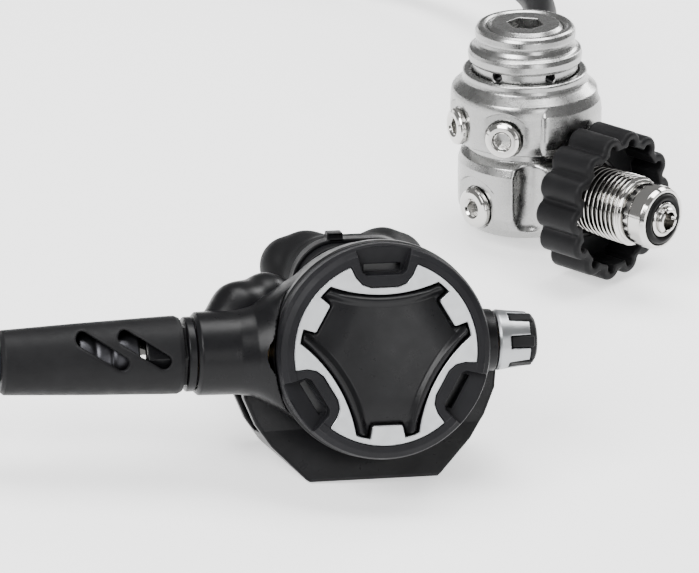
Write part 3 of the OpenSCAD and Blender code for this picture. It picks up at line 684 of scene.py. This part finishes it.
def folded(x, z, offset):
    """The third of the cover that holds each point, turned upright about 12 o'clock."""
    angle = np.arctan2(z, x) - math.radians(90 + offset)
    third = 2 * math.pi / 3
    angle = (angle + third / 2) % third - third / 2
    r = np.hypot(x, z)
    return -r * np.sin(angle), r * np.cos(angle)


def lobe2(u, v):
    """The outline of a scoop on the cover."""
    a = np.abs(u)
    return poly2(a, v, [(0, 20.1), (4.0, 20.1), (6.4, 21.0), (8.2, 23.0), (9.3, 25.4),
                        (10.6, 27.4), (10.6, 36), (-2, 36), (-2, 20.1)]) - 0.4


def purge2(x, z, gap):
    """The outline of the purge button, grown by the gap."""
    u, v = folded(x, z, 0)
    d = np.maximum(np.hypot(x, z) - PURGE_R, HOLLOW_R - np.hypot(u, v - HOLLOW_FROM))
    u, v = folded(x, z, 180)
    tab = poly2(np.abs(u), v, [(-1, 21.2), (4.5, 21.2), (5.2, 21.9), (6.4, 28), (-1, 28)])
    return np.maximum(d, -tab) - gap


def cover_field(x, y, z):
    """The cover ring, its web under the accent ring and its three scoops."""
    r = np.hypot(x, z)
    ring = poly2(r, y, [(20, -11.4), (32.0, -11.4), (32.2, -12), (32.2, -15.8), (31.5, -17.8),
                        (29.9, -18.8), (28.0, -19.0), (20, -19.0)]) - 0.2
    u, v = folded(x, z, 0)
    lobe = slab(lobe2(u, v), y, -19.1, -14, 0.5)
    web = slab(np.maximum(r - 30, -purge2(x, z, 0.5)), y, -17.1, -15.5)
    d = np.maximum(ring, 28.0 - r)
    d = np.minimum(smin(d, np.maximum(lobe, r - 30), 0.4), web)
    mouth = poly2(np.abs(u), v, [(-1, 23.2), (5.2, 23.2), (6.6, 24.3), (8.3, 30.4), (7.6, 31.4),
                                 (-1, 31.6)])
    floor = -15.0 - 0.28 * (v - 24) - y
    d = smax(d, -np.maximum(mouth, -floor), 0.45)
    slot = block(u, v, y, (-5.6, 24.0, -18.2), (5.6, 26.4, -10))
    return smax(d, -slot, 0.2)


solid("cover_face", cover_field, (-33, -19.5, -33), (33, -11, 33), 0.34, SECOND,
      "second_stage", ["cover_ring"], "black_plastic", "cover_plastic")


def accent_field(x, y, z):
    """The silver trim between the cover's scoops and the button."""
    u, v = folded(x, z, 0)
    d = np.maximum(np.hypot(x, z) - 27.9, -purge2(x, z, 0.55))
    d = np.maximum(d, -lobe2(u, v) + 0.12)
    return slab(d, y, -18.9, -16.9, 0.25)


solid("accent_trim", accent_field, (-28, -19, -28), (28, -16.8, 28), 0.24, SECOND,
      "second_stage", ["accent_ring"], "silver_plastic")


def button_field(x, y, z):
    """The purge button: ridges along its hollow sides, a dished middle, sloping tips."""
    edge = purge2(x, z, 0)
    r = np.hypot(x, z)
    u, v = folded(x, z, 0)
    inward = np.hypot(u, v - HOLLOW_FROM) - HOLLOW_R
    a, b = folded(x, z, 180)
    tip = np.clip((b - 12.5) / 8.7, 0, 1)
    ridge = np.clip(1 - np.abs(inward - 1.35) / 2.1, 0, 1)
    ridge = ridge * ridge * (3 - 2 * ridge)
    dish = 0.9 * np.clip(1 - (r / 20) ** 2, 0, 1) ** 2 - 1.3 * tip * tip * (np.abs(a) < 30)
    front = -18.6 - 1.15 * ridge - dish * (1 - 0.6 * ridge)
    return smax(slab(edge, y, -30, -14.4, 0.0), front - y, 0.8)


solid("purge_face", button_field, (-26, -20.8, -26), (26, -14, 26), 0.33, SECOND,
      "purge_button", ["purge_button"], "button_plastic")


def knob_field(x, y, z):
    """The knob's silver cone with six slots for the grip."""
    r = np.hypot(y, z)
    d = poly2(r, x, [(0, 37.2), (8.7, 37.2), (9.0, 37.9), (8.5, 41.5), (7.9, 47.4), (0, 47.4)])
    d = d - 0.2
    for turn in range(0, 360, 60):
        u, w = turned(y, z, turn)
        slot = block(x, w, u, (40.6, -2.0, 6.7), (60, 2.0, 20), 0.4)
        d = smax(d, -slot, 0.3)
    return d


solid("knob_cone", knob_field, (37, -9.5, -9.5), (46.5, 9.5, 9.5), 0.24, SECOND, "knob",
      ["knob_body"], "silver_plastic")


def grip_field(x, y, z):
    """The knob's rubber end with six fingers in the cone's slots."""
    r = np.hypot(y, z)
    d = poly2(r, x, [(0, 46), (7.0, 46), (7.4, 47.6), (7.3, 48.3), (6.3, 49), (0, 49.1)]) - 0.2
    for turn in range(0, 360, 60):
        u, w = turned(y, z, turn)
        d = smin(d, block(x, w, u, (40.9, -1.75, 5.5), (48, 1.75, 8.3), 0.7), 0.4)
    return d


solid("knob_rubber", grip_field, (40, -9, -9), (49.6, 9, 9), 0.24, SECOND, "knob",
      ["knob_grip"], "black_rubber")


def tee_field(x, y, z):
    """The exhaust tee: two open wings and a flat foot on the table."""
    a = np.abs(x + 0.25)
    out = poly2(a, z, [(-1, -9), (39.2, -9), (38.6, -15), (35.2, -23.2), (30.6, -30),
                       (18.4, -42.4), (-1, -42.4)])
    front = 4.5 - np.clip((-z - 25) * 0.2, 0, 3)
    d = smax(slab(out, y, 0, 26.5, 1.2), front - y, 1.0)
    d = smax(d, -np.maximum(np.hypot(x, z) - 31.7, y - 9), 0.4)
    hollow = block(a, y, z, (27, 9, -26.5), (60, 22, -13), 2.0)
    d = smax(d, -hollow, 0.8)
    lean = math.radians(22)
    foot = (z + 39.85) * math.cos(lean) - (y - 4) * math.sin(lean)
    return np.maximum(d, -foot)


solid("exhaust_wings", tee_field, (-40, 0, -43), (40, 27, -8), 0.5, SECOND, "second_stage",
      ["exhaust_tee"], "black_plastic")


def mouthpiece_field(x, y, z):
    """The mouthpiece: sleeve, flange, bite tabs and bore."""
    u, w, far = flank(x, y, z)
    sleeve = slab(oval(u, w, 12.6), far, 15, 28, 0.8)
    mid = rod(u, w, far, (-6, 0, 27), (6, 0, 27), 12.2)
    flange = np.minimum(rod(u, w, far, (-16.5, -1.5, 38.5), (-12, -3.5, 36), 9.2),
                        rod(u, w, far, (12, -3.5, 36), (16.5, -1.5, 38.5), 9.2))
    flange = smin(flange, block(u, w, far, (-16, -9.5, 31), (16, 8.5, 40), 4), 5)
    d = smin(smin(sleeve, mid, 4), flange, 4)
    for side in (-1, 1):
        d = smin(d, block(u, w, far, (side * 18 - 3.5, -3.4, 38), (side * 18 + 3.5, 0, 53), 1.2),
                 1.5)
    d = np.maximum(d, far - 53.2)
    d = smax(d, -np.maximum(oval(u, w, 8), 20 - far), 1.0)
    return smax(d, -np.maximum(oval(u, w, 11.1), far - 30), 0.4)


solid("mouthpiece_rubber", mouthpiece_field, (-26, 17, -2), (26, 60, 36), 0.55, SECOND,
      "second_stage", ["mouthpiece"], "black_rubber")


def clamp_field(x, y, z):
    """The tie around the mouthpiece's sleeve, and its head."""
    u, w, far = flank(x, y, z)
    d = slab(np.abs(oval(u, w, 13.3)) - 0.6, far, 18.5, 23, 0.3)
    return smin(d, block(u, w, far, (-9, -15.9, 18.7), (-4, -12.8, 22.8), 0.5), 0.4)


solid("clamp_band", clamp_field, (-21, 22, 0), (21, 32, 34), 0.3, SECOND, "second_stage",
      ["mouthpiece_clamp"], "black_plastic")


def protector_field(x, y, z):
    """The hose's sleeve with two slanted slots in its front."""
    r = np.hypot(y, z)
    d = poly2(r, x, [(0, -113.3), (8.6, -113.3), (9.5, -112.3), (10.5, -90), (11.4, -65),
                     (11.5, -60.5), (10.9, -59.2), (0, -59.2)]) - 0.2
    bore = poly2(r, x, [(-1, -120), (6.0, -120), (6.0, -111.5), (8.4, -110.5), (8.9, -97),
                        (9.0, -74), (10.2, -72), (10.2, -50), (-1, -50)])
    d = smax(d, -bore, 0.4)
    c, s = math.cos(math.radians(33)), math.sin(math.radians(33))
    for place in (-83.5, -71):
        u, w = c * (x - place) - s * (z - 3.0), s * (x - place) + c * (z - 3.0)
        d = smax(d, -block(u, y, w, (-8.5, -20, -2.0), (8.5, -2, 2.0), 1.8), 1.4)
    return d


solid("hose_sleeve", protector_field, (-114, -12, -12), (-59, 12, 12), 0.42, SECOND,
      "first_stage", ["hose_protector"], "black_rubber")


def nut_field(x, y, z):
    """The swivel nut, its hexagon and its collar."""
    r = np.hypot(y, z)
    ring = slab(r - 11.2, x, -57.8, -55.2, 0.5)
    nut = slab(hex2(y, z, 17.2), x, -70, -57.5, 0.3)
    return smax(smin(ring, nut, 0.3), 4.3 - r, 0.1)


solid("swivel_ring", nut_field, (-70, -11.5, -11.5), (-55, 11.5, 11.5), 0.33, SECOND,
      "second_stage", ["swivel_nut"], "black_plastic")

# ------------------------------------------------------------------ inner parts keep their shape
SLOTS = {s["node"]: s["material_slot"] for s in frame["record"]["subparts"]}
for node, slot in SLOTS.items():
    obj = bpy.data.objects.get(node)
    if obj is not None and obj.type == "MESH":
        if not obj.material_slots:
            obj.data.materials.append(MATS[slot])
        for place in obj.material_slots:
            place.link = "OBJECT"
            place.material = MATS[slot]

# ------------------------------------------------------------------ floor and light
floor_mesh = bpy.data.meshes.new("floor")
floor_mesh.from_pydata([(-9, -9, 0), (9, -9, 0), (9, 9, 0), (-9, 9, 0)], [], [(0, 1, 2, 3)])
floor = bpy.data.objects.new("floor", floor_mesh)
scene.collection.objects.link(floor)
paper = Nodes("paper", (0.9, 0.9, 0.9), 0.8, Emission_Color=(1, 1, 1, 1),
              Emission_Strength=0.9)
paper.rough(paper.noise(40, detail=3), 0.75, 0.9)
paper.bump(paper.noise(300, detail=3), 0.0001, 0.1)
floor_mesh.materials.append(paper.mat)


def lamp(name, place, aim, size, power):
    """A rectangular lamp that faces its aim."""
    data = bpy.data.lights.new(name, "AREA")
    data.shape = "RECTANGLE"
    data.size, data.size_y = size
    data.energy = power
    o = bpy.data.objects.new(name, data)
    toward = (Vector(aim) - Vector(place)).normalized().to_track_quat("-Z", "Y")
    o.matrix_world = Matrix.Translation(place) @ toward.to_matrix().to_4x4()
    scene.collection.objects.link(o)


lamp("key", (-0.9, -0.7, 1.0), (0, 0, 0.03), (0.8, 0.8), 32)
lamp("top", (0.1, 0.3, 1.4), (0, 0, 0.03), (1.1, 0.7), 28)
lamp("rim", (0.9, 0.7, 0.6), (0.05, 0, 0.04), (0.3, 0.9), 10)
lamp("front", (0.35, -1.3, 0.5), (0, 0, 0.04), (0.5, 0.7), 6)
world = bpy.data.worlds.new("studio")
world.use_nodes = True
world.node_tree.nodes["Background"].inputs["Color"].default_value = (1, 1, 1, 1)
world.node_tree.nodes["Background"].inputs["Strength"].default_value = 0.3
scene.world = world
